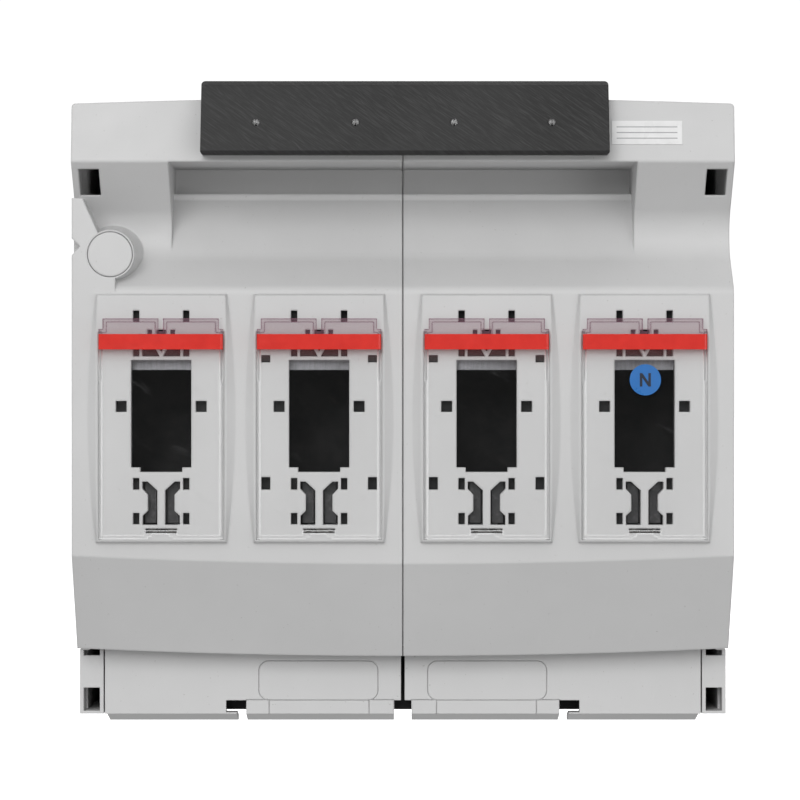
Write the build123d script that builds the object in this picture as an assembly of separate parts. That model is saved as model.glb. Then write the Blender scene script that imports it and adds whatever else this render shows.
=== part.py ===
from build123d import *
import os

# A four-pole fuse switch-disconnector for blade fuse-links, hung on a plate.
# X runs along the width, Z is up and the mounting plane is Y = 0. The front looks along -Y, so a point's
# depth is its distance in front of the mounting plane, which is -Y. Millimetres throughout.

os.makedirs("parts", exist_ok=True)

# Poles and halves
POLE_X = (-101.0, -35.0, 35.0, 101.0)
SIDES = {"left": -1, "right": 1}
SEAM = 0.2                # from the middle plane to each half of the lid
HALF_WIDTH = 138.6        # lid, from the middle to its side
WALL = 2.5

# Base and its terminal covers
BASE_HALF_WIDTH = 138.6
PARTITIONS = ((136.1, 138.6), (127.0, 129.0), (73.0, 75.0), (61.0, 63.0), (7.0, 9.0), (0.0, 2.9))
BASE_FRONT = 60.0
BASE_LOWER_FRONT = 81.0
PLATE = 4.0               # back plate
BASE_TOP = 124.0
BASE_BOTTOM = -134.6
CHAMBER_TOP = -107.0      # top of the lower terminal chamber
CHANNEL_NEAR = 128.4      # inner side of the channel at each end of the terminal chamber
CHANNEL_SIDES = ((136.1, 138.6), (CHANNEL_NEAR, 130.0))
CHANNEL_HOLES = ((-133.4, -123.4), (-109.6, -106.0))
PEDESTAL_Z = (82.0, -99.3)    # blocks that carry the copper bars
PEDESTAL_HALF = 11.0
TIE_Z = (70.0, -90.0)
TIE_DEPTH = 30.0
TIE_R = 4.0
COVER_FRONT = 81.5
COVER_BACK = 62.5
COVER_TOP = -104.5
COVER_BOTTOM = -134.6
COVER_ENDS = (0.8, 127.8)     # from the middle plane
COVER_WALL = 2.0
FOOT_DROP = 4.0               # how far the sloped foot reaches below the cover's front
TABS = ((57.5, 67.1), (4.0, 14.3))
TAB_HEIGHT = 5.8
TAB_GROOVE = 0.35
NOTCH = (67.2, 75.8)
SLIT = (67.2, 71.2)
CORNER_CUT = 3.8
PANEL_X = -36.2               # rounded panel drawn on the cover
PANEL_Z = -120.3
PANEL_LINE = 0.3
BAFFLE_FRONT = 62.0

# Lid outline
LID_BACK = 61.0
FACE = 118.0
BROW = (122.0, 99.5)      # depth and height of the lower edge of the brow
BROW_LEAN = 8.15          # degrees that the brow leans back
VALLEY = (90.0, 69.0)
CREST = 46.5
TOP_MIDDLE = 126.5
TOP_END = 124.0
TOP_CORNER = 1.8
CREASE = -68.6            # where the face turns into the skirt, in the middle
SKIRT_BOTTOM = (93.0, -109.0)
BOW = 3.3                 # rise of the skirt's edges from the middle to the ends
SPAN = 300.0              # longer than anything it cuts

# Finger pocket under the handle
POCKET_HALF = 98.0
POCKET_BACK = 70.0
LEDGE_DEPTH = 84.0
LEDGE_TOP = 88.2
LEDGE_BAND = 2.6          # upright front of the ledge
SLOPE_END = (99.5, 62.2)  # where the slope below the ledge runs out into the rounded valley

# Handle
HANDLE_ENDS = (-84.0, 85.7)
HANDLE_TOP = 133.2
HANDLE_FOOT = 101.6
HANDLE_CORNER = 1.6
SCREW_X = (-61.0, -19.7, 21.3, 61.9)
SCREW_Z = 115.3
SCREW_R = 1.5

# Window pads and windows, about each pole
PAD_FRONT = 120.5
PAD_TOP = 43.7
PAD_BOTTOM = -59.2
WINDOW_HALF = 26.0
WINDOW_TOP = 34.0
WINDOW_BOTTOM = -58.0
WINDOW_FRONT = 124.3
WINDOW_WALL = 1.4
GROOVE_FLOOR = 119.2
RAIL = 0.8                # thickness of a window's edge inside its groove
RAIL_TOP = 8.0
WINDOW_TRAVEL = 20.0
VIEW_HALF = 12.6          # main opening
VIEW_TOP = 16.7
VIEW_BOTTOM = -28.2

# Hinge of the lid
PIVOT = (84.0, -100.0)
PIN_R = 3.0
PIN_CLEARANCE = 0.05
PIN_X = (129.6, 137.4)

# Side plug and marker
PLUG_AT = (-122.6, 61.0)
PLUG_R = 9.3
DISC_R = 6.5
DISC_Z = 8.4

# Fuse carriers and what they hold, about each pole
CARRIER = ((64.0, 115.2), (-61.0, 40.0))      # depths and heights
CARRIER_HALF = 27.5
CARRIER_WALL = 2.0
CARRIER_GAP_HALF = 10.0       # opening for the contacts in its ends
GRIP_DEPTH = (110.8, 112.8)
CLAW_FRONT = 115.0

# Bay liners and arc plates, about each pole
LINER_HALF = 25.3
LINER_WALL = 1.8
LINER_DEPTH = (PLATE, 59.0)
LINER_Z = (-94.0, 78.0)
SCREEN_DEPTH = (37.0, 38.5)   # dark screen in front of the arc plates
BAR_CLEARANCE = 0.3
ARC_PLATES = 5
ARC_PITCH = 14.0
ARC_LOWEST = -34.0
ARC_THICK = 1.2

# Contacts and terminals
BAR_HALF = 12.5
BAR_DEPTH = (14.0, 19.0)
JAW_FRONT = 54.0
JAW_GAP = 3.2             # half of the gap that takes a 6 mm blade
JAW_LEAF = 2.2
STUD_R = 5.0
STUD_END = 42.0
TERMINALS = {"upper": 1, "lower": -1}
JAW_CENTRE = {"upper": 56.0, "lower": -68.0}
TERMINAL_Z = {"upper": 98.0, "lower": -108.0}

# Mounting holes
MOUNT_X = 68.0
MOUNT_Z = 100.0
MOUNT_R = 4.5


def brick(x, depth, z):
    """A block between two values on each axis, with depth measured in front of the mounting plane."""
    size = (abs(x[1] - x[0]), abs(depth[1] - depth[0]), abs(z[1] - z[0]))
    centre = ((x[0] + x[1]) / 2, -(depth[0] + depth[1]) / 2, (z[0] + z[1]) / 2)
    return Pos(*centre) * Box(*size)


def side_face(points, x):
    """A closed outline of (depth, height) points, in the plane at x."""
    return make_face(Polyline(*[(x, -d, z) for d, z in points], close=True))


def along_x(points, x):
    """A closed outline of (depth, height) points, drawn out from x[0] to x[1]."""
    return extrude(side_face(points, x[0]), amount=x[1] - x[0], dir=(1, 0, 0))


def along_y(points, depth):
    """A closed outline of (x, height) points, drawn out from depth[0] to depth[1]."""
    outline = make_face(Polyline(*[(x, -depth[0], z) for x, z in points], close=True))
    return extrude(outline, amount=depth[1] - depth[0], dir=(0, -1, 0))


def rod_y(x, z, depth, radius):
    """A round bar along the depth axis."""
    middle = -(depth[0] + depth[1]) / 2
    return Pos(x, middle, z) * Rot(90, 0, 0) * Cylinder(radius, depth[1] - depth[0])


def rod_x(x, depth, z, radius):
    """A round bar along X."""
    middle = (x[0] + x[1]) / 2
    return Pos(middle, -depth, z) * Rot(0, 90, 0) * Cylinder(radius, abs(x[1] - x[0]))


def both_sides(x, depth, z):
    """The same block at +x and -x of the middle plane."""
    return brick(x, depth, z) + brick((-x[1], -x[0]), depth, z)


def mirrored(shape):
    return mirror(shape, about=Plane.YZ)


def save(name, shape):
    solids = shape.solids()
    export_step(solids[0] if len(solids) == 1 else Compound(children=list(solids)), f"parts/{name}.step")


# ---------------------------------------------------------------- lid


def lid_profile(below_face):
    """Side outline of the lid, before its top is bowed; below_face are its points under the crest."""
    points = [(50, 140), (116.2, 140), BROW, VALLEY, (FACE, CREST)] + below_face
    face = side_face(points, 0)
    corners = face.vertices()
    valley = corners.sort_by_distance((0, -VALLEY[0], VALLEY[1]))[0]
    face = fillet(valley, 14)
    crest = face.vertices().sort_by_distance((0, -FACE, CREST))[0]
    face = fillet(crest, 5)
    lip = face.vertices().sort_by_distance((0, -BROW[0], BROW[1]))[0]
    return fillet(lip, 1.2)


def front_outline(inset, depth):
    """Front outline of the lid with its bowed top edge."""
    half, end, middle = HALF_WIDTH - inset, TOP_END - inset, TOP_MIDDLE - inset
    y = -depth[0]
    left = Line((-half, y, -140), (-half, y, end))
    top = ThreePointArc((-half, y, end), (0, y, middle), (half, y, end))
    right = Line((half, y, end), (half, y, -140))
    bottom = Line((half, y, -140), (-half, y, -140))
    face = make_face([left, top, right, bottom])
    face = fillet(face.vertices().group_by(Axis.Z)[-1], TOP_CORNER)
    return extrude(face, amount=depth[1] - depth[0], dir=(0, -1, 0))


def skirt_cut():
    """What is cut away below and in front of the bowed skirt."""
    foot_depth, foot_z = SKIRT_BOTTOM
    slope = (FACE - foot_depth) / (CREASE - foot_z)
    above = (FACE + 10 * slope, CREASE + 10)
    points = [above, SKIRT_BOTTOM, (40, foot_z), (40, -170), (160, -170), (160, above[1])]
    radius = (HALF_WIDTH ** 2 + BOW ** 2) / (2 * BOW)
    axis = Axis((0, 0, foot_z + radius), (0, 1, 0))
    half_turn = 4.0
    cut = revolve(side_face(points, 0), axis=axis, revolution_arc=2 * half_turn)
    return cut.rotate(axis, -half_turn)


def outer_form():
    """The lid's outer form, filled."""
    profile = lid_profile([(FACE, -140), (50, -140)])
    form = extrude(Pos(-HALF_WIDTH, 0, 0) * profile, amount=2 * HALF_WIDTH, dir=(1, 0, 0))
    return (form & front_outline(0, (40, 140))) - skirt_cut()


def inner_form():
    """The space inside the lid's walls, open below and behind, with a straight skirt."""
    foot_depth, foot_z = SKIRT_BOTTOM
    slope = (FACE - foot_depth) / (CREASE - foot_z)
    low = (foot_depth - 40 * slope, foot_z + BOW - 40)
    profile = lid_profile([(FACE, CREASE + BOW), low, (50, low[1])])
    profile = offset(profile, amount=-WALL, kind=Kind.INTERSECTION)
    half = HALF_WIDTH - WALL
    form = extrude(Pos(-half, 0, 0) * profile, amount=2 * half, dir=(1, 0, 0))
    return form & front_outline(WALL, (40, 140))


def pocket_form(grow):
    """The finger pocket under the handle; grown, it is the pocket with its own walls."""
    half = POCKET_HALF + grow
    points = [
        (140, BROW[1] + grow), (POCKET_BACK - grow, BROW[1] + grow), (POCKET_BACK - grow, LEDGE_TOP - grow),
        (LEDGE_DEPTH - grow, LEDGE_TOP - grow), (LEDGE_DEPTH - grow, LEDGE_TOP - LEDGE_BAND - grow),
        (SLOPE_END[0] - grow, SLOPE_END[1] - grow / 2),
        (140, SLOPE_END[1] - grow / 2),
    ]
    return along_x(points, (-half, half))


def plug_boss():
    """Filled corner at the left of the valley, flush with the face, that carries the round plug."""
    x, z = PLUG_AT
    points = [
        (-HALF_WIDTH, 84.5), (-134.2, 84.5), (-127.6, z + 8.8), (x, z + 5), (x + 2.2, z),
        (x + 2.2, CREST - 2), (-HALF_WIDTH, CREST - 2),
    ]
    corner = along_y(points, (80, FACE))
    cone = Pos(x, -(FACE + 84) / 2, z) * Rot(90, 0, 0) * Cone(14.8, PLUG_R + 0.9, FACE - 84)
    return (corner + cone) & brick((-HALF_WIDTH, 0), (70, 130), (0, 100))


def window_pad(x):
    """Raised pad under a window, with flanks that swell at mid-height."""
    def outline(half, swell, top, bottom, depth):
        y, middle = -depth, (top + bottom) / 2
        corners = [(x - half, y, top), (x + half, y, top), (x + half, y, bottom), (x - half, y, bottom)]
        edges = [
            Line(corners[0], corners[1]),
            ThreePointArc(corners[1], (x + half + swell, y, middle), corners[2]),
            Line(corners[2], corners[3]),
            ThreePointArc(corners[3], (x - half - swell, y, middle), corners[0]),
        ]
        return make_face(edges)
    foot = outline(27.6, 4.2, PAD_TOP + 0.8, PAD_BOTTOM - 0.8, FACE - 0.5)
    crown = outline(26.9, 0.4, PAD_TOP, PAD_BOTTOM, PAD_FRONT)
    return loft([foot, crown])


def view_openings(x, extra_squares):
    """Everything cut through a window pad."""
    through = (105, 130)
    slot = (9.1, 11.8)
    cuts = [
        brick((x - VIEW_HALF, x + VIEW_HALF), through, (VIEW_BOTTOM, VIEW_TOP)),
        brick((x - 8.8, x + 8.8), through, (VIEW_BOTTOM - 1.9, VIEW_BOTTOM + 1)),
        brick((x - 6.6, x + 6.6), through, (-55.6, -53.7)),
        brick((x - 2.0, x + 2.0), through, (26.6, 29.4)),
    ]
    pairs = [
        (slot, (32.5, 37.4)), (slot, (18.2, 23.4)), (slot, (-37.5, -32.6)), (slot, (-52.0, -47.2)),
        ((14.4, 19.0), (-5.0, -0.4)), ((3.8, 5.8), (26.6, 29.4)),
    ]
    if extra_squares:
        pairs += [((20.4, 24.2), (15.7, 18.8)), ((20.4, 24.2), (-37.5, -32.2))]
    for near_far, heights in pairs:
        cuts += [brick((x + s * near_far[0], x + s * near_far[1]), through, heights) for s in (-1, 1)]
    claw = [(7.9, -34.1), (5.6, -34.1), (1.6, -37.8), (1.6, -52.2), (7.8, -52.2), (7.8, -48.4), (5.6, -46.3),
            (5.6, -39.6), (7.9, -37.1)]
    lattice = [(8.0, 18.2), (0.6, 18.2), (3.4, 23.4), (8.0, 23.4)]
    for shape in (claw, lattice):
        cuts += [along_y([(x + s * px, pz) for px, pz in shape], through) for s in (-1, 1)]
    cuts.append(along_y([(x - 1.8, 23.4), (x, 20.2), (x + 1.8, 23.4)], through))
    return cuts


def guide_grooves(x):
    """Grooves in a pad that guide the side walls of a window."""
    inner, outer = WINDOW_HALF - RAIL - 0.3, WINDOW_HALF + 0.3
    heights = (WINDOW_BOTTOM - 0.5, RAIL_TOP + WINDOW_TRAVEL + 0.6)
    return [brick((x + s * inner, x + s * outer), (GROOVE_FLOOR, 130), heights) for s in (-1, 1)]


def hinge_cheek(side):
    """Boss inside a side wall that turns on the hinge pin."""
    return rod_x((side * (PIN_X[0] + 4.4), side * (HALF_WIDTH - 1)), PIVOT[0], PIVOT[1], 7)


def whole_lid():
    """The lid in one piece, before it is parted in the middle."""
    behind = brick((-SPAN, SPAN), (0, LID_BACK), (-SPAN, SPAN))
    outer = outer_form() - behind
    lid = outer + plug_boss() - inner_form()
    pocket_walls = pocket_form(WALL) & outer
    lid = lid + pocket_walls
    for x in POLE_X:
        lid = lid + window_pad(x)
    lid = lid - pocket_form(0)
    plug_x, plug_z = PLUG_AT
    cuts = [
        both_sides((127.2, 135.9), (75, 140), (86.4, 96.7)),
        rod_y(plug_x, plug_z, (112, 130), PLUG_R + 0.25),
        rod_y(plug_x, plug_z, (80, 113), PLUG_R - 1.5),
        along_y([(-140, 69), (-135.2, 64.3), (-140, 59)], (108, 130)),
    ]
    for index, x in enumerate(POLE_X):
        cuts += view_openings(x, extra_squares=index in (1, 2)) + guide_grooves(x)
    for side in (-1, 1):
        lid = lid + hinge_cheek(side)
        cuts.append(rod_x((side * (PIN_X[0] + 4), side * (PIN_X[1] + 0.2)), *PIVOT, PIN_R + PIN_CLEARANCE))
    cuts += [rod_y(x, SCREW_Z, (100, 130), SCREW_R) for x in SCREW_X]
    return lid - cuts


def make_lid():
    lid = whole_lid()
    for name, side in SIDES.items():
        half = lid & brick((side * SEAM, side * SPAN), (0, 160), (-SPAN, SPAN))
        save(f"lid_{name}", half.solids().sort_by(SortBy.VOLUME)[-1])


def make_handle():
    """Solid grip bar that leans back over the brow."""
    foot, top = HANDLE_FOOT, HANDLE_TOP
    points = [
        (121.8, foot + 0.5), (132.2, foot), (133.4, foot + 1.8), (123.9, top - 2.0), (121, top),
        (112, top), (109, top - 2), (109, 127), (118.2, 127),
    ]
    bar = along_x(points, HANDLE_ENDS)
    left, right = HANDLE_ENDS
    front = Plane.XZ * RectangleRounded(right - left, top - foot, HANDLE_CORNER)
    bar = bar & extrude(Pos((left + right) / 2, -120, (top + foot) / 2) * front, amount=30, both=True)
    for x in SCREW_X:
        bar = bar - rod_y(x, SCREW_Z, (100, 140), SCREW_R)
    save("handle_bar", bar)
    front, slot = 129.7, 0.5
    screws = []
    for x in SCREW_X:
        screw = rod_y(x, SCREW_Z, (112, front), SCREW_R - 0.02)
        screws.append(screw - brick((x - 0.3, x + 0.3), (front - slot, front + 1), (SCREW_Z - 2, SCREW_Z + 2)))
    save("handle_screws", Compound(children=screws))


def window_outline(x, inset):
    """Front outline of a clear window: two tabs on top and a notch for its clip below."""
    half = WINDOW_HALF - inset
    tab, gap, shoulder = 24.2 - inset, 1.0 + inset, 29.6 - inset
    top, bottom, notch, lift = WINDOW_TOP - inset, WINDOW_BOTTOM + inset, 5.4 + inset, 2.0
    right = [(gap, top), (tab, top), (tab, shoulder), (half, shoulder), (half, bottom), (notch, bottom),
             (notch, bottom + lift)]
    left = [(-px, pz) for px, pz in reversed(right)]
    return [(x + px, pz) for px, pz in right + left + [(-gap, shoulder - 1), (gap, shoulder - 1)]]


def make_window(number, x):
    """Clear tray that slides up along the grooves of its pad."""
    floor = PAD_FRONT + 0.3
    tray = along_y(window_outline(x, 0), (floor, WINDOW_FRONT))
    long_edges = tray.edges().filter_by(Axis.Z).filter_by(
        lambda e: abs(abs(e.center().X - x) - WINDOW_HALF) < 0.01 and e.center().Y < -WINDOW_FRONT + 0.1)
    tray = fillet(long_edges, 1.2)
    tray = tray - along_y(window_outline(x, WINDOW_WALL), (floor - 1, WINDOW_FRONT - WINDOW_WALL))
    inner, rail_z = WINDOW_HALF - RAIL, (WINDOW_BOTTOM, RAIL_TOP)
    for s in (-1, 1):
        tray = tray + brick((x + s * inner, x + s * WINDOW_HALF), (GROOVE_FLOOR + 0.3, floor + 1), rail_z)
        tray = tray + brick((x + s * 3.6, x + s * 5.4), (floor, WINDOW_FRONT), (-57.2, -54.5))
    save(f"window_{number}", tray)


def make_fuse_carrier(number, x):
    """Dark frame behind a pad that carries a fuse-link when the lid swings out."""
    (back, front), (low, high) = CARRIER
    inner, wall = CARRIER_HALF - CARRIER_WALL, CARRIER_WALL
    frame = brick((x - CARRIER_HALF, x + CARRIER_HALF), (back, front), (low, high))
    frame = frame - brick((x - inner, x + inner), (back - 4, front - wall), (low + wall, high - wall))
    frame = frame - brick((x - CARRIER_GAP_HALF, x + CARRIER_GAP_HALF), (back - 4, 96), (low - 1, high + 2))
    openings = [
        brick((x - VIEW_HALF, x + VIEW_HALF), (110, 120), (VIEW_BOTTOM, VIEW_TOP)),
        brick((x - 9, x + 9), (110, 120), (-56.5, VIEW_BOTTOM + 1)),
    ]
    save(f"fuse_carrier_{number}", frame - openings)


def make_grip_plate(number, x):
    """Steel plate that hooks the fuse-link's upper lug."""
    plate = brick((x - 17, x + 17), GRIP_DEPTH, (12.6, 36)) - brick((x - 6, x + 6), (110, 114), (22, 31))
    ears = [brick((x + s * 15, x + s * 17), (92, 111), (16, 32)) for s in (-1, 1)]
    save(f"grip_plate_{number}", plate + ears)


def make_grip_catch(number, x):
    """Sprung slide with two claws that hold the fuse-link's lower lug."""
    claw = [(7.0, -34.6), (5.0, -34.6), (2.4, -37.6), (2.4, -51.5), (7.0, -51.5), (7.0, -48.0), (6.4, -46.3),
            (6.4, -39.6), (7.0, -37.8)]
    yoke = brick((x - 7.4, x + 7.4), (106.6, 109.0), (-51.6, -34.4))
    claws = [along_y([(x + s * px, pz) for px, pz in claw], (108, CLAW_FRONT)) for s in (-1, 1)]
    hook = brick((x - 5, x + 5), (96, 107), (-37, -34.4))
    save(f"grip_catch_{number}", yoke + claws + hook)


def make_lid_details():
    plug_x, plug_z = PLUG_AT
    plug = rod_y(plug_x, plug_z, (113.2, FACE), PLUG_R) + rod_y(plug_x, plug_z, (108, 113.5), PLUG_R - 1.6)
    save("side_plug", plug)
    save("neutral_disc", rod_y(POLE_X[3], DISC_Z, (WINDOW_FRONT, WINDOW_FRONT + 0.4), DISC_R))
    label = brick((87.3, 116.7), (0.02, 0.35), (-5.0, 5.0))
    save("blank_label", Pos(0, -120.26, 111.7) * Rot(-BROW_LEAN, 0, 0) * label)


# ---------------------------------------------------------------- base


def wall_x(near, far, depth, z):
    """A wall between two distances from the middle plane, in the left half."""
    return brick((-far, -near), depth, z)


def base_left():
    """Left moulded half: back plate, phase walls, terminal chambers and hinge bracket."""
    outer, full = BASE_HALF_WIDTH, (BASE_BOTTOM, BASE_TOP)
    body = wall_x(0, outer, (0, PLATE), full)
    for near, far in PARTITIONS:
        body = body + wall_x(near, far, (0, BASE_FRONT), full)
    body = body + wall_x(0, outer, (0, BASE_FRONT), (BASE_TOP - WALL, BASE_TOP))
    for near, far in CHANNEL_SIDES:
        body = body + wall_x(near, far, (0, BASE_LOWER_FRONT), (BASE_BOTTOM, CHAMBER_TOP))
    chamber = (BASE_BOTTOM, CHAMBER_TOP)
    body = body + wall_x(CHANNEL_NEAR, outer, (BASE_LOWER_FRONT - WALL, BASE_LOWER_FRONT), chamber)
    body = body + wall_x(CHANNEL_NEAR, outer, (0, BASE_LOWER_FRONT), (BASE_BOTTOM, BASE_BOTTOM + 1.2))
    for heights in CHANNEL_HOLES:
        body = body - wall_x(130.0, 137.0, (70, 90), heights)
    for x in POLE_X[:2]:
        for z in PEDESTAL_Z:
            body = body + brick((x - PEDESTAL_HALF, x + PEDESTAL_HALF), (0, BAR_DEPTH[0]), (z, z + 5))
        body = body - brick((x - 21, x + 21), (16, 90), (BASE_TOP - 5, BASE_TOP + 5))
    bracket = along_x([(40, -106), (84, -106), (84, -94), (40, -82)], (-PIN_X[0] - 4, -PIN_X[0]))
    bracket = bracket + rod_x((-PIN_X[0] - 4, -PIN_X[0]), *PIVOT, 6)
    web = brick((-PIN_X[0], -127.0), (40, BASE_FRONT), (-106, -82))
    body = body + bracket + web - rod_x((-140, -120), *PIVOT, PIN_R)
    for z in (MOUNT_Z, -MOUNT_Z):
        body = body - rod_y(-MOUNT_X, z, (-1, 10), MOUNT_R)
    slot = brick((-MOUNT_X - MOUNT_R, -MOUNT_X + MOUNT_R), (-1, 10), (BASE_BOTTOM - 1, -124))
    body = body - slot - rod_y(-MOUNT_X, -124, (-1, 10), MOUNT_R)
    for z in TIE_Z:
        body = body - rod_x((-10, 0), TIE_DEPTH, z, TIE_R)
    return body


def make_base():
    left = base_left()
    save("base_left", left)
    save("base_right", mirrored(left))
    ties = [rod_x((-6.5, 6.5), TIE_DEPTH, z, TIE_R) for z in TIE_Z]
    save("base_tie_rods", Compound(children=ties))
    pins = [rod_x((s * PIN_X[0], s * PIN_X[1]), *PIVOT, PIN_R) for s in (-1, 1)]
    save("hinge_pins", Compound(children=pins))
    depth, heights = (BASE_FRONT, BAFFLE_FRONT), (COVER_BOTTOM + 0.2, COVER_BOTTOM + 9)
    baffles = [brick((-CORNER_CUT, CORNER_CUT), depth, (heights[0], CHAMBER_TOP))]
    baffles += [brick((s * NOTCH[0] - s, s * NOTCH[1] + s), depth, heights) for s in (-1, 1)]
    save("terminal_baffles", Compound(children=baffles))


def make_bay_liner(number, x):
    """Dark arc chamber that lines one fuse bay."""
    (back, front), (low, high) = LINER_DEPTH, LINER_Z
    inner = LINER_HALF - LINER_WALL
    liner = brick((x - LINER_HALF, x + LINER_HALF), (back, front), (low, high))
    liner = liner - brick((x - inner, x + inner), (back + 2, front + 3), (low + 2, high - 2))
    liner = liner + brick((x - inner - 0.5, x + inner + 0.5), SCREEN_DEPTH, (-42, 30))
    for z in (50, -74):
        liner = liner + brick((x - 10, x + 10), (5, BAR_DEPTH[0]), (z, z + 12))
    half = BAR_HALF + BAR_CLEARANCE
    for heights in ((low - 2, low + 3), (high - 3, high + 1)):
        liner = liner - brick((x - half, x + half), (BAR_DEPTH[0] - 0.2, 30), heights)
    save(f"bay_liner_{number}", liner)


def make_contact(end, number, x):
    """Copper bar with a terminal tongue at one end and a lyre jaw at the other."""
    sign, jaw, lug = TERMINALS[end], JAW_CENTRE[end], TERMINAL_Z[end]
    heights = sorted((jaw - sign * 12, lug + sign * 14))
    bar = brick((x - BAR_HALF, x + BAR_HALF), BAR_DEPTH, heights) - rod_y(x, lug, (0, 40), STUD_R + 0.2)
    for s in (-1, 1):
        inside = [(JAW_GAP + 1.6, BAR_DEPTH[1] - 1), (JAW_GAP + 1.6, 30), (JAW_GAP, 38), (JAW_GAP, 48),
                  (JAW_GAP + 2.4, JAW_FRONT)]
        leaf = inside + [(px + JAW_LEAF, d) for px, d in reversed(inside)]
        wire = Polyline(*[(x + s * px, -d, jaw - 12) for px, d in leaf], close=True)
        bar = bar + extrude(make_face(wire), amount=24, dir=(0, 0, 1))
    save(f"{end}_contact_{number}", bar)


def jaw_spring(x, jaw):
    """Steel ring that squeezes both leaves of a jaw."""
    reach = JAW_GAP + JAW_LEAF
    ring = brick((x - reach - 1.4, x + reach + 1.4), (40, 46), (jaw - 13.5, jaw + 13.5))
    return ring - brick((x - reach - 0.02, x + reach + 0.02), (39, 47), (jaw - 12.1, jaw + 12.1))


def make_terminals():
    """Springs of the jaws, and the bolts, washers and nuts of all eight terminals."""
    places = [(x, TERMINAL_Z[end]) for end in TERMINALS for x in POLE_X]
    bolts, washers, nuts = [], [], []
    hexagon = Plane.XZ * RegularPolygon(8.5, 6)
    for x, z in places:
        head = extrude(Pos(x, -BAR_DEPTH[0], z) * hexagon, amount=-6.4, dir=(0, -1, 0))
        bolts.append(head + rod_y(x, z, (BAR_DEPTH[0] - 0.5, STUD_END), STUD_R))
        washers.append(rod_y(x, z, (19, 21), 10) - rod_y(x, z, (18, 22), STUD_R))
        nut = extrude(Pos(x, -21, z) * hexagon, amount=8, dir=(0, -1, 0))
        nuts.append(nut - rod_y(x, z, (20, 30), STUD_R))
    save("terminal_bolts", Compound(children=bolts))
    save("terminal_washers", Compound(children=washers))
    save("terminal_nuts", Compound(children=nuts))


def make_arc_plates(number, x):
    """Steel splitter plates between the two jaws, held in the bay liner."""
    plates = []
    half = LINER_HALF - LINER_WALL
    for index in range(ARC_PLATES):
        z = ARC_LOWEST + ARC_PITCH * index
        plate = brick((x - half, x + half), (8, 36), (z, z + ARC_THICK))
        plates.append(plate - brick((x - 9, x + 9), (20, 40), (z - 1, z + 2)))
    save(f"arc_plates_{number}", Compound(children=plates))


# ---------------------------------------------------------------- lower terminal covers


def cover_left():
    """Left shroud over the two lower terminals, open to the back, with a sloped foot."""
    near, far = COVER_ENDS
    low, inner = COVER_BOTTOM, COVER_FRONT - COVER_WALL
    body = wall_x(near, far, (inner, COVER_FRONT), (low, COVER_TOP))
    foot = low - FOOT_DROP
    section = [(COVER_FRONT, low), (66, foot), (62, foot), (62, low - 2), (inner, low + 2)]
    body = body + along_x(section, (-far + 1, -CORNER_CUT))
    for end in (near, far - COVER_WALL):
        body = body + wall_x(end, end + COVER_WALL, (COVER_BACK, COVER_FRONT), (low, COVER_TOP))
    for tab_near, tab_far in TABS:
        around = (tab_near - TAB_GROOVE, tab_far + TAB_GROOVE)
        heights = (low, low + TAB_HEIGHT + TAB_GROOVE)
        body = body - wall_x(*around, (COVER_FRONT - 0.6, COVER_FRONT + 1), heights)
        body = body + wall_x(tab_near, tab_far, (COVER_FRONT - 1, COVER_FRONT), (low, low + TAB_HEIGHT))
    notch = wall_x(*NOTCH, (60, 90), (low + 0.6, low + TAB_HEIGHT))
    slit = wall_x(*SLIT, (50, 90), (low - 6, low + 3))
    corner = wall_x(0, CORNER_CUT, (50, 90), (low - 6, low + TAB_HEIGHT))
    width, height, radius = 51.4, 17.2, 4.4
    line = PANEL_LINE
    outline = RectangleRounded(width, height, radius)
    outline = outline - RectangleRounded(width - 2 * line, height - 2 * line, radius - line)
    groove = extrude(Pos(PANEL_X, -COVER_FRONT, PANEL_Z) * (Plane.XZ * outline), amount=0.6, both=True)
    return body - notch - slit - corner - groove


def make_terminal_covers():
    left = cover_left()
    save("terminal_cover_left", left)
    save("terminal_cover_right", mirrored(left))


make_base()
make_terminals()
make_terminal_covers()
for end in TERMINALS:
    for number, x in enumerate(POLE_X, 1):
        make_contact(end, number, x)
    save(f"{end}_jaw_springs", Compound(children=[jaw_spring(x, JAW_CENTRE[end]) for x in POLE_X]))
for number, x in enumerate(POLE_X, 1):
    make_bay_liner(number, x)
    make_arc_plates(number, x)
    make_fuse_carrier(number, x)
    make_grip_plate(number, x)
    make_grip_catch(number, x)
    make_window(number, x)
make_lid()
make_handle()
make_lid_details()
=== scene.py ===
import math

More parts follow.
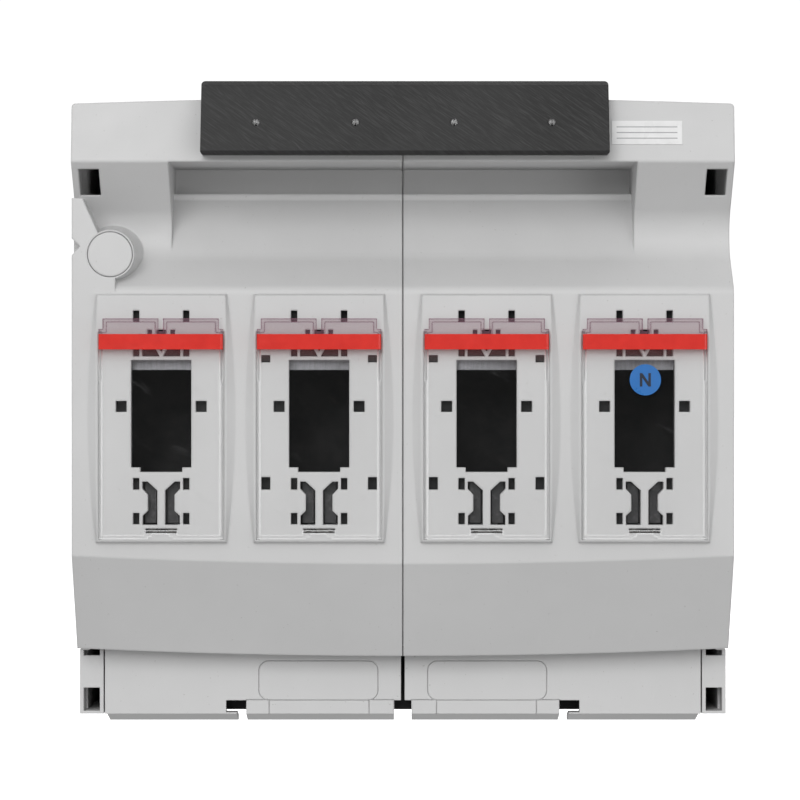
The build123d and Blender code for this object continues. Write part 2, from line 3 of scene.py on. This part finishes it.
import bmesh
import bpy
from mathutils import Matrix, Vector

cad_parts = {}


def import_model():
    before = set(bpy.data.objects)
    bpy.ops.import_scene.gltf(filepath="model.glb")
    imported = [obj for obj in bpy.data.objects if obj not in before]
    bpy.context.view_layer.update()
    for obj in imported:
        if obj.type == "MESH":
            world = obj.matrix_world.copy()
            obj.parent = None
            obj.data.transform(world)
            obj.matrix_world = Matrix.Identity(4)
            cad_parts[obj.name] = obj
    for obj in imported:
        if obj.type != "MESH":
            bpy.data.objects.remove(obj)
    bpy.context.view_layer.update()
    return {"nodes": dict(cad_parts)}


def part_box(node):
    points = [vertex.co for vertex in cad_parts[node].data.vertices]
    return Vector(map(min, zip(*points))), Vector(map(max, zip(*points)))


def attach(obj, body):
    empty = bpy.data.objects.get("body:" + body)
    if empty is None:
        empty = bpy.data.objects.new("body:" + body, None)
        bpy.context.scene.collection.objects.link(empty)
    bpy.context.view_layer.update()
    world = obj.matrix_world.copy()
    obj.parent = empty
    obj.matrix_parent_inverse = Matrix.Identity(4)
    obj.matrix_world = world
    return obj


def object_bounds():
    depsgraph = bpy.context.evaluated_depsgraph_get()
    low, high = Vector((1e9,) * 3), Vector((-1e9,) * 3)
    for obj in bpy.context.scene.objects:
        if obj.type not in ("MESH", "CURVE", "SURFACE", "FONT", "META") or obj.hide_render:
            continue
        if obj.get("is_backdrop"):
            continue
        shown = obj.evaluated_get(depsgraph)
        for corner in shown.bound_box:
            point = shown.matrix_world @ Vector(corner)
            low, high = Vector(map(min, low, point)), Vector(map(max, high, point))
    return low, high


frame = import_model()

# The looks of a four-pole fuse switch-disconnector: moulded grey lid and base, dark grip bar, clear windows.
# Metres. X runs along the width, Z is up and the front looks along -Y.

NODES = frame["nodes"]
MM = 0.001

# Camera
FACE_DEPTH = 0.118
CAMERA_DISTANCE = 1.45      # from the face of the lid
VIEW_WIDTH = 0.3348         # seen at the face
SENSOR = 36.0
CAMERA_SIDE = -0.0012       # how far it stands to the right of the middle

# Clear windows: heights of the red stripe, and linear tones
STRIPE = (0.0211, 0.0275)
STRIPE_GLOW_END = 0.0145           # height where the painted red glow below the stripe fades out
GLASS = (0.85, 0.85, 0.85)
# Tone of the painted highlight on the windows' edges
GLASS_EDGE_HIGHLIGHT = (1.0, 1.0, 1.0)
# Tone of the painted red glow below the stripe
PAINTED_STRIPE_GLOW = (0.45, 0.03, 0.04)
MAUVE = (0.5, 0.26, 0.34)
DARK_MAUVE = (0.2, 0.08, 0.13)
STRIPE_REDS = [(0.3, (0.66, 0.014, 0.006)), (0.7, (0.74, 0.02, 0.01))]

# Blank label: its plain rules, as shares of its height, and their size
RULE_SHARES = (0.26, 0.5, 0.74)
RULE_HALF = 0.22 * MM
RULE_INSET = 2.0 * MM

# Letter on the neutral marker: width, height and width of its strokes
LETTER = (4.6 * MM, 5.6 * MM, 1.05 * MM)
SLANT_RATIO = 1.9           # height of the slanting stroke's ends over the strokes' width
INK_SUNK = 0.05 * MM        # how far it starts inside the marker
INK_THICKNESS = 0.13 * MM

# Floor and sky
FLOOR_DROP = 0.075          # below the object, so that the lower covers can slide down
FLOOR_REACH = 40.0
FLOOR_LIGHT = 0.55
SKY_BELOW, SKY_ABOVE = 0.47, 0.66
BACKDROP = 1.05             # strength of the white that the camera sees


# ---------------------------------------------------------------- node helpers


class Shader:
    """A new material's node tree, with short calls for the nodes that every finish uses."""

    def __init__(self, name, color, roughness, metallic=0.0):
        self.material = bpy.data.materials.new(name)
        self.material.use_nodes = True
        self.tree = self.material.node_tree
        self.bsdf = self.tree.nodes["Principled BSDF"]
        self.bsdf.inputs["Base Color"].default_value = (*color, 1)
        self.bsdf.inputs["Roughness"].default_value = roughness
        self.bsdf.inputs["Metallic"].default_value = metallic
        self.coords = self.tree.nodes.new("ShaderNodeTexCoord").outputs["Object"]

    def link(self, source, target):
        self.tree.links.new(source, target)

    def placed(self, scale, turn=0.0):
        """Object coordinates turned about the depth axis, then stretched."""
        mapping = self.tree.nodes.new("ShaderNodeMapping")
        mapping.vector_type = "TEXTURE"
        mapping.inputs["Scale"].default_value = [1 / along for along in scale]
        mapping.inputs["Rotation"].default_value = (0, turn, 0)
        self.link(self.coords, mapping.inputs["Vector"])
        return mapping.outputs["Vector"]

    def noise(self, scale, detail, roughness, vector=None):
        made = self.tree.nodes.new("ShaderNodeTexNoise")
        made.inputs["Scale"].default_value = scale
        made.inputs["Detail"].default_value = detail
        made.inputs["Roughness"].default_value = roughness
        self.link(vector or self.coords, made.inputs["Vector"])
        return made.outputs["Fac"]

    def ramp(self, value, stops):
        """A colour or a grey picked by value; stops are (position, grey or colour)."""
        made = self.tree.nodes.new("ShaderNodeValToRGB")
        elements = made.color_ramp.elements
        while len(elements) < len(stops):
            elements.new(0.5)
        for element, (position, color) in zip(elements, stops):
            element.position = position
            element.color = (*color, 1) if isinstance(color, tuple) else (color, color, color, 1)
        self.link(value, made.inputs["Fac"])
        return made.outputs["Color"]

    def mix(self, factor, a, b):
        """a where factor is 0 and b where it is 1; each may be a constant or another node's output."""
        made = self.tree.nodes.new("ShaderNodeMix")
        made.data_type = "RGBA"
        for socket, value in ((made.inputs[0], factor), (made.inputs[6], a), (made.inputs[7], b)):
            if isinstance(value, bpy.types.NodeSocket):
                self.link(value, socket)
            elif isinstance(value, tuple):
                socket.default_value = (*value, 1)
            else:
                socket.default_value = value
        return made.outputs[2]

    def math(self, operation, a, b=0.0):
        made = self.tree.nodes.new("ShaderNodeMath")
        made.operation = operation
        for socket, value in zip(made.inputs, (a, b)):
            if isinstance(value, bpy.types.NodeSocket):
                self.link(value, socket)
            else:
                socket.default_value = value
        return made.outputs[0]

    def axis(self, name):
        made = self.tree.nodes.new("ShaderNodeSeparateXYZ")
        self.link(self.coords, made.inputs[0])
        return made.outputs[name]

    def between(self, value, low, high):
        """1 where value lies between low and high."""
        above = self.math("GREATER_THAN", value, low)
        return self.math("MULTIPLY", above, self.math("LESS_THAN", value, high))

    def color(self, value):
        self.link(value, self.bsdf.inputs["Base Color"])

    def roughness(self, value):
        self.link(value, self.bsdf.inputs["Roughness"])

    def rounded_edges(self, radius):
        """Normals that make edges look rounded, and a mask that is 1 right on those edges."""
        rounded = self.tree.nodes.new("ShaderNodeBevel")
        rounded.samples = 6
        rounded.inputs["Radius"].default_value = radius
        flat = self.tree.nodes.new("ShaderNodeNewGeometry")
        compare = self.tree.nodes.new("ShaderNodeVectorMath")
        compare.operation = "DOT_PRODUCT"
        self.link(rounded.outputs["Normal"], compare.inputs[0])
        self.link(flat.outputs["Normal"], compare.inputs[1])
        likeness = self.math("ABSOLUTE", compare.outputs["Value"])
        return rounded.outputs["Normal"], self.ramp(likeness, [(0.8, 1.0), (0.985, 0.0)])

    def bump(self, height, strength, distance, normal=None):
        made = self.tree.nodes.new("ShaderNodeBump")
        if normal:
            self.link(normal, made.inputs["Normal"])
        made.inputs["Strength"].default_value = strength
        made.inputs["Distance"].default_value = distance
        self.link(height, made.inputs["Height"])
        self.link(made.outputs["Normal"], self.bsdf.inputs["Normal"])


# ---------------------------------------------------------------- finishes


def moulded_grey(name, tone, rounding):
    """Light grey glass-filled plastic: fine grain, faint clouds, small specks, rubbed streaks and painted
    highlights on its edges.
    """
    s = Shader(name, (tone, tone, tone), 0.5)
    clouds = s.ramp(s.noise(11, 4, 0.6), [(0.3, tone * 0.955), (0.7, tone * 1.03)])
    specks = s.ramp(s.noise(900, 2, 0.5), [(0.735, 0.0), (0.76, 0.8)])
    marked = s.mix(specks, clouds, (tone * 0.7, tone * 0.69, tone * 0.67))
    streaks = s.ramp(s.noise(34, 5, 0.7, s.placed((6, 1, 1), 0.3)), [(0.62, 0.0), (0.8, 0.35)])
    normal, edges = s.rounded_edges(rounding)
    rubbed = s.mix(streaks, marked, (tone * 1.08, tone * 1.08, tone * 1.07))
    # Edges lightened through the bevel mask: a painted highlight
    s.color(s.mix(s.math("MULTIPLY", edges, 0.5), rubbed, (tone * 1.2, tone * 1.2, tone * 1.2)))
    s.roughness(s.ramp(s.noise(60, 4, 0.6), [(0.3, 0.42), (0.75, 0.6)]))
    s.bump(s.noise(2600, 2, 0.6), 0.22, 0.00012, normal)
    return s.material


def grip_bar():
    """Dark grey moulding, dulled and covered in fine slanting scratches, with painted highlights on its
    edges.
    """
    s = Shader("grip_bar_grey", (0.028, 0.028, 0.029), 0.5)
    base = s.ramp(s.noise(26, 4, 0.6), [(0.3, 0.016), (0.72, 0.026)])
    fine = s.noise(120, 3, 0.6, s.placed((1.0, 1, 20), 0.62))
    cross = s.noise(85, 3, 0.6, s.placed((1.0, 1, 22), 0.9))
    fine_marks = s.ramp(fine, [(0.47, 0.0), (0.76, 0.6)])
    scratches = s.math("ADD", fine_marks, s.ramp(cross, [(0.6, 0.0), (0.8, 0.4)]))
    normal, edges = s.rounded_edges(0.0009)
    # Real scratches, together with edges lightened as a painted highlight
    scratches_and_edge_highlights = s.math("MAXIMUM", scratches, s.math("MULTIPLY", edges, 0.4))
    s.color(s.mix(scratches_and_edge_highlights, base, (0.075, 0.075, 0.075)))
    s.roughness(s.ramp(fine, [(0.3, 0.42), (0.75, 0.62)]))
    s.bsdf.inputs["Specular IOR Level"].default_value = 0.3
    furrows = s.math("MULTIPLY", fine, -0.5)
    s.bump(s.math("ADD", furrows, s.noise(2200, 2, 0.5)), 0.3, 0.0001, normal)
    return s.material


def black_moulding():
    """Matt black heat-resistant plastic with pale scuffs."""
    s = Shader("black_moulding", (0.006, 0.006, 0.007), 0.6)
    scuff = s.noise(70, 5, 0.7, s.placed((1, 1, 5), 0.7))
    scuffed = s.ramp(scuff, [(0.6, 0.0), (0.82, 0.5)])
    s.color(s.mix(scuffed, (0.004, 0.004, 0.005), (0.03, 0.03, 0.03)))
    s.roughness(s.ramp(s.noise(90, 3, 0.6), [(0.3, 0.5), (0.7, 0.72)]))
    s.bump(s.noise(1800, 2, 0.5), 0.25, 0.0001)
    return s.material


def claw_plastic():
    """Dark grey glass-filled claws, a little worn."""
    s = Shader("claw_grey", (0.05, 0.05, 0.05), 0.45)
    worn = s.noise(320, 4, 0.6)
    s.color(s.mix(s.ramp(worn, [(0.5, 0.0), (0.75, 0.8)]), (0.035, 0.035, 0.037), (0.12, 0.12, 0.12)))
    s.roughness(s.ramp(worn, [(0.3, 0.35), (0.7, 0.6)]))
    s.bump(s.noise(1500, 2, 0.5), 0.25, 0.0001)
    return s.material


def metal(name, bright, dull, roughness, grain, rounding=0.0004):
    """Plated metal with drawn grain along grain, stains and dull patches."""
    s = Shader(name, bright, roughness, metallic=1.0)
    drawn = s.noise(140, 4, 0.6, s.placed(grain))
    stain = s.ramp(s.noise(45, 4, 0.65), [(0.42, 0.0), (0.72, 0.8)])
    s.color(s.mix(stain, s.mix(drawn, bright, dull), dull))
    s.roughness(s.ramp(drawn, [(0.2, roughness * 0.7), (0.8, min(1.0, roughness * 1.5))]))
    s.bump(drawn, 0.15, 0.0001, s.rounded_edges(rounding)[0])
    return s.material


def clear_window():
    """Clear polycarbonate with painted highlights on its edges, mauve tabs, a red stripe, and a painted red
    glow of the stripe below it.
    """
    s = Shader("clear_window", (0.9, 0.9, 0.9), 0.08)
    low, high = STRIPE
    height = s.axis("Z")
    stripe = s.between(height, low, high)
    tab = s.math("GREATER_THAN", height, high)
    # Painted red glow of the stripe on the glass below it, fading out downwards
    fade = s.ramp(height, [(STRIPE_GLOW_END, 0.0), (low, 1.0)])
    stripe_glow = s.math("MULTIPLY", fade, s.math("LESS_THAN", height, low))
    edges = s.rounded_edges(0.0011)[1]
    haze = s.ramp(s.noise(60, 5, 0.6, s.placed((1, 1, 4), 0.5)), [(0.62, 0.0), (0.85, 0.04)])

    # Painted highlight: the edges are whiter than the rest of the glass
    plain = s.mix(stripe_glow, s.mix(edges, GLASS, GLASS_EDGE_HIGHLIGHT), PAINTED_STRIPE_GLOW)
    unprinted = s.mix(tab, plain, s.mix(edges, MAUVE, DARK_MAUVE))
    s.color(s.mix(stripe, unprinted, s.ramp(s.noise(160, 3, 0.6), STRIPE_REDS)))

    # Nearly clear when seen square on, denser at a slant, where it is tinted or printed, on edges to show
    # their painted highlight, and below the stripe to show its painted red glow
    facing = s.tree.nodes.new("ShaderNodeLayerWeight")
    facing.inputs["Blend"].default_value = 0.35
    slant = s.ramp(facing.outputs["Facing"], [(0.0, 0.006), (0.3, 0.03), (0.7, 0.3), (0.97, 0.65)])
    cover = s.math("ADD", slant, haze)
    cover = s.math("ADD", cover, s.math("MULTIPLY", tab, 0.12))
    cover = s.math("ADD", cover, s.math("MULTIPLY", stripe_glow, 0.11))
    cover = s.math("MAXIMUM", cover, s.math("MULTIPLY", edges, 0.75))
    cover = s.math("MAXIMUM", cover, s.math("MULTIPLY", stripe, 0.97))
    s.link(cover, s.bsdf.inputs["Alpha"])
    s.roughness(s.ramp(s.noise(50, 4, 0.7, s.placed((1, 1, 8))), [(0.4, 0.06), (0.8, 0.2)]))
    s.bsdf.inputs["IOR"].default_value = 1.58
    s.bump(s.noise(240, 2, 0.5), 0.04, 0.0001)
    return s.material


def label_film():
    """Blank pale film with three plain rules to write on."""
    s = Shader("label_film", (0.8, 0.8, 0.78), 0.3)
    low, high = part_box("blank_label")
    paper = s.ramp(s.noise(120, 3, 0.6), [(0.3, 0.72), (0.7, 0.8)])
    rules = 0.0
    inside = s.between(s.axis("X"), low.x + RULE_INSET, high.x - RULE_INSET)
    for share in RULE_SHARES:
        middle = low.z + (high.z - low.z) * share
        rules = s.math("ADD", rules, s.between(s.axis("Z"), middle - RULE_HALF, middle + RULE_HALF))
    s.color(s.mix(s.math("MULTIPLY", rules, inside), paper, (0.35, 0.35, 0.36)))
    s.roughness(s.ramp(s.noise(80, 3, 0.5), [(0.3, 0.22), (0.7, 0.4)]))
    s.bump(s.noise(700, 2, 0.5), 0.06, 0.0001)
    return s.material


def printed(name, color):
    """Printed film in one colour, with a faint mottle."""
    s = Shader(name, color, 0.3)
    darker = tuple(c * 0.82 for c in color)
    s.color(s.mix(s.noise(260, 3, 0.6), darker, color))
    s.roughness(s.ramp(s.noise(150, 3, 0.5), [(0.3, 0.24), (0.7, 0.42)]))
    s.bump(s.noise(900, 2, 0.5), 0.05, 0.0001)
    return s.material


# ---------------------------------------------------------------- the CAD nodes' finishes


def finish_of(name):
    """The material of a CAD node, by the start of its name."""
    for start, material in FINISHES:
        if name.startswith(start):
            return material
    raise ValueError(f"no finish for {name}")


GREY = moulded_grey("moulded_grey", 0.6, 0.0014)
BASE_GREY = moulded_grey("base_grey", 0.62, 0.0006)
BLACK = black_moulding()
STEEL = metal("zinc_steel", (0.62, 0.62, 0.64), (0.34, 0.34, 0.35), 0.35, (1, 8, 1))
DARK_STEEL = metal("blackened_steel", (0.3, 0.3, 0.3), (0.12, 0.12, 0.12), 0.22, (1, 8, 1), 0.0016)
DULL_STEEL = metal("dull_steel", (0.34, 0.34, 0.36), (0.2, 0.2, 0.21), 0.4, (8, 1, 1))
SILVER = metal("silvered_copper", (0.78, 0.76, 0.72), (0.5, 0.46, 0.4), 0.28, (1, 1, 8))
# The first match counts, so a longer start stands before a shorter one
FINISHES = [
    ("lid_", GREY), ("side_plug", GREY), ("base_tie", STEEL), ("base_", BASE_GREY),
    # The terminal baffles are black so that the gaps behind the terminal covers' notches read dark: a dark
    # piece standing in for the deep shade there, partly for the base's own dark inside
    ("terminal_cover", BASE_GREY), ("terminal_baffles", BLACK), ("terminal_", STEEL),
    ("handle_bar", grip_bar()), ("handle_screws", DARK_STEEL), ("hinge_pins", STEEL),
    ("bay_liner", BLACK), ("arc_plates", STEEL), ("upper_jaw", STEEL), ("lower_jaw", STEEL),
    ("upper_contact", SILVER), ("lower_contact", SILVER), ("fuse_carrier", BLACK),
    ("grip_plate", DULL_STEEL), ("grip_catch", claw_plastic()), ("window", clear_window()),
    ("blank_label", label_film()), ("neutral_disc", printed("marker_blue", (0.012, 0.16, 0.5))),
]

for name, node in NODES.items():
    node.data.materials.clear()
    node.data.materials.append(finish_of(name))


# ---------------------------------------------------------------- pieces made here


def mesh_piece(name, outlines, depth, thickness, material, body):
    """Flat piece made of (x, z) outlines, with its back at depth, on a CAD body."""
    shape = bmesh.new()
    for outline in outlines:
        corners = [shape.verts.new((x, -depth, z)) for x, z in outline]
        face = shape.faces.new(corners)
        made = bmesh.ops.extrude_face_region(shape, geom=[face])
        moved = [v for v in made["geom"] if isinstance(v, bmesh.types.BMVert)]
        bmesh.ops.translate(shape, verts=moved, vec=(0, -thickness, 0))
    bmesh.ops.recalc_face_normals(shape, faces=shape.faces)
    mesh = bpy.data.meshes.new(name)
    shape.to_mesh(mesh)
    shape.free()
    piece = bpy.data.objects.new(name, mesh)
    bpy.context.scene.collection.objects.link(piece)
    mesh.materials.append(material)
    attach(piece, body)
    return piece


def neutral_letter():
    """The generic N of a neutral conductor, on the blue marker."""
    low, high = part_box("neutral_disc")
    x, z = (low.x + high.x) / 2, (low.z + high.z) / 2
    width, height, bar = LETTER
    left, right, foot, top = x - width / 2, x + width / 2, z - height / 2, z + height / 2
    slant = bar * SLANT_RATIO
    outlines = [
        [(left, foot), (left + bar, foot), (left + bar, top), (left, top)],
        [(right - bar, foot), (right, foot), (right, top), (right - bar, top)],
        [(left + bar, top), (left + bar, top - slant), (right - bar, foot), (right - bar, foot + slant)],
    ]
    ink = printed("letter_ink", (0.004, 0.012, 0.03))
    piece = mesh_piece("neutral_letter", outlines, -low.y - INK_SUNK, INK_THICKNESS, ink, "window_4_slide")


neutral_letter()


# ---------------------------------------------------------------- stage, lights and camera


def floor():
    """A wide pale floor that lights itself a little and casts no light or reflection on the object."""
    z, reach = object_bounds()[0].z - FLOOR_DROP, FLOOR_REACH
    corners = [(-reach, -reach, z), (reach, -reach, z), (reach, reach, z), (-reach, reach, z)]
    mesh = bpy.data.meshes.new("floor")
    mesh.from_pydata(corners, [], [(0, 1, 2, 3)])
    plane = bpy.data.objects.new("floor", mesh)
    bpy.context.scene.collection.objects.link(plane)
    s = Shader("floor_white", (0.9, 0.9, 0.9), 0.9)
    s.color(s.ramp(s.noise(3, 2, 0.5), [(0.3, 0.9), (0.7, 0.92)]))
    s.bsdf.inputs["Specular IOR Level"].default_value = 0.0
    s.bsdf.inputs["Emission Color"].default_value = (1, 1, 1, 1)
    s.bsdf.inputs["Emission Strength"].default_value = FLOOR_LIGHT
    mesh.materials.append(s.material)
    plane.visible_diffuse = False
    plane.visible_glossy = False
    plane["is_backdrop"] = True


def world():
    """White to the camera, and a soft sky that is brighter above than below to everything else."""
    sky = bpy.data.worlds.new("studio")
    sky.use_nodes = True
    bpy.context.scene.world = sky
    tree = sky.node_tree
    background = tree.nodes["Background"]
    coords = tree.nodes.new("ShaderNodeTexCoord")
    split = tree.nodes.new("ShaderNodeSeparateXYZ")
    ramp = tree.nodes.new("ShaderNodeMapRange")
    path = tree.nodes.new("ShaderNodeLightPath")
    mix = tree.nodes.new("ShaderNodeMix")
    tree.links.new(coords.outputs["Generated"], split.inputs[0])
    tree.links.new(split.outputs["Z"], ramp.inputs["Value"])
    ramp.inputs["From Min"].default_value = -0.6
    ramp.inputs["From Max"].default_value = 0.8
    ramp.inputs["To Min"].default_value = SKY_BELOW
    ramp.inputs["To Max"].default_value = SKY_ABOVE
    tree.links.new(path.outputs["Is Camera Ray"], mix.inputs[0])
    tree.links.new(ramp.outputs["Result"], mix.inputs[2])
    mix.inputs[3].default_value = BACKDROP
    tree.links.new(mix.outputs[0], background.inputs["Strength"])
    background.inputs["Color"].default_value = (1, 1, 1, 1)


def area_light(name, place, target, size, energy):
    """A square lamp at place, aimed at target."""
    light = bpy.data.lights.new(name, "AREA")
    light.energy = energy
    light.size = size
    lamp = bpy.data.objects.new(name, light)
    bpy.context.scene.collection.objects.link(lamp)
    lamp.location = place
    lamp.rotation_euler = (Vector(target) - Vector(place)).to_track_quat("-Z", "Y").to_euler()


def camera():
    """Square to the front, on the middle of the device."""
    lens = bpy.data.cameras.new("camera")
    lens.sensor_width = SENSOR
    lens.lens = SENSOR * CAMERA_DISTANCE / VIEW_WIDTH
    lens.clip_end = 200
    eye = bpy.data.objects.new("camera", lens)
    bpy.context.scene.collection.objects.link(eye)
    eye.location = (CAMERA_SIDE, -(FACE_DEPTH + CAMERA_DISTANCE), 0)
    eye.rotation_euler = (math.radians(90), 0, 0)
    bpy.context.scene.camera = eye


floor()
world()
camera()
area_light("key", (-0.5, -2.2, 0.9), (0, -0.1, 0), 1.3, 22)
area_light("fill", (1.2, -1.8, -0.2), (0, -0.1, 0), 1.2, 6)
area_light("back", (0.6, 1.6, 1.0), (0, 0, 0), 1.4, 16)
bpy.context.scene.view_settings.view_transform = "Standard"
